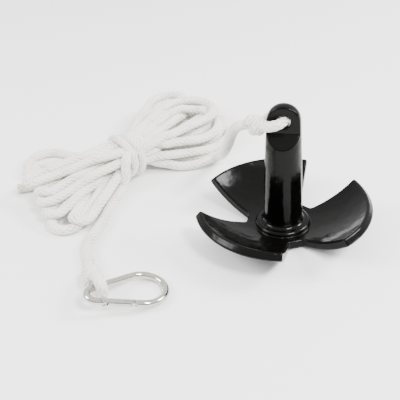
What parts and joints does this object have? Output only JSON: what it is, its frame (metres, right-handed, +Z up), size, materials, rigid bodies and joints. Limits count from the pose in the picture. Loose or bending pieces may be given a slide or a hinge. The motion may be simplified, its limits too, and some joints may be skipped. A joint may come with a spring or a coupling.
{
  "type": "boat anchor",
  "caption": "Small river anchor with cupped flukes and an eyed shank, dipped in vinyl, with its tied braided rope and snap hook.",
  "frame": {"origin": "centre of the anchor's foot, on the ground", "axes": "+Z up the shank; +Y along the eye's hole, towards the back; the rope's hank lies towards -X"},
  "size_m": [0.3412, 0.3568, 0.1245],
  "materials": {
    "cast_iron": "matte",
    "vinyl": "gloss",
    "rope": "satin",
    "hook_steel": "satin",
    "rivet_steel": "satin",
    "spring_steel": "satin"
  },
  "bodies": {
    "root": {"iron_casting": "cast_iron", "vinyl_coat": "vinyl", "rope_eye_loop": "rope", "rope_eye_knot": "rope", "rope_eye_lead": "rope", "rope_hank": "rope", "rope_hook_lead": "rope", "rope_hook_knot": "rope", "rope_hook_loop": "rope", "tie_wraps": "rope", "tie_tail": "rope"},
    "snap_hook": {"hook_body": "hook_steel", "gate_rivet": "rivet_steel", "latch_pin": "rivet_steel"},
    "gate": {"gate": "hook_steel"},
    "plunger": {"spring_plunger": "hook_steel", "gate_spring": "spring_steel"}
  },
  "joints": [
    {"name": "hook_swing", "type": "hinge", "parent": "root", "child": "snap_hook", "pos_m": [-0.13707, -0.10818, 0.01197], "axis": [-0.6961, -0.6983, 0.167], "range_deg": [0, 120]},
    {"name": "gate_hinge", "type": "hinge", "parent": "snap_hook", "child": "gate", "pos_m": [-0.12787, -0.12613, 0.0121], "axis": [0.1512, 0.0848, 0.9849], "range_deg": [0, 30], "stiffness_Nm_per_rad": 0.2, "springref_deg": -28.65},
    {"name": "plunger_slide", "type": "slide", "parent": "gate", "child": "plunger", "axis": [0.9587, 0.2303, -0.167], "range_m": [0, 0.00086]}
  ],
  "couplings": [
    {"joint": "plunger_slide", "follows": "gate_hinge", "m_per_rad": 0.001623}
  ]
}
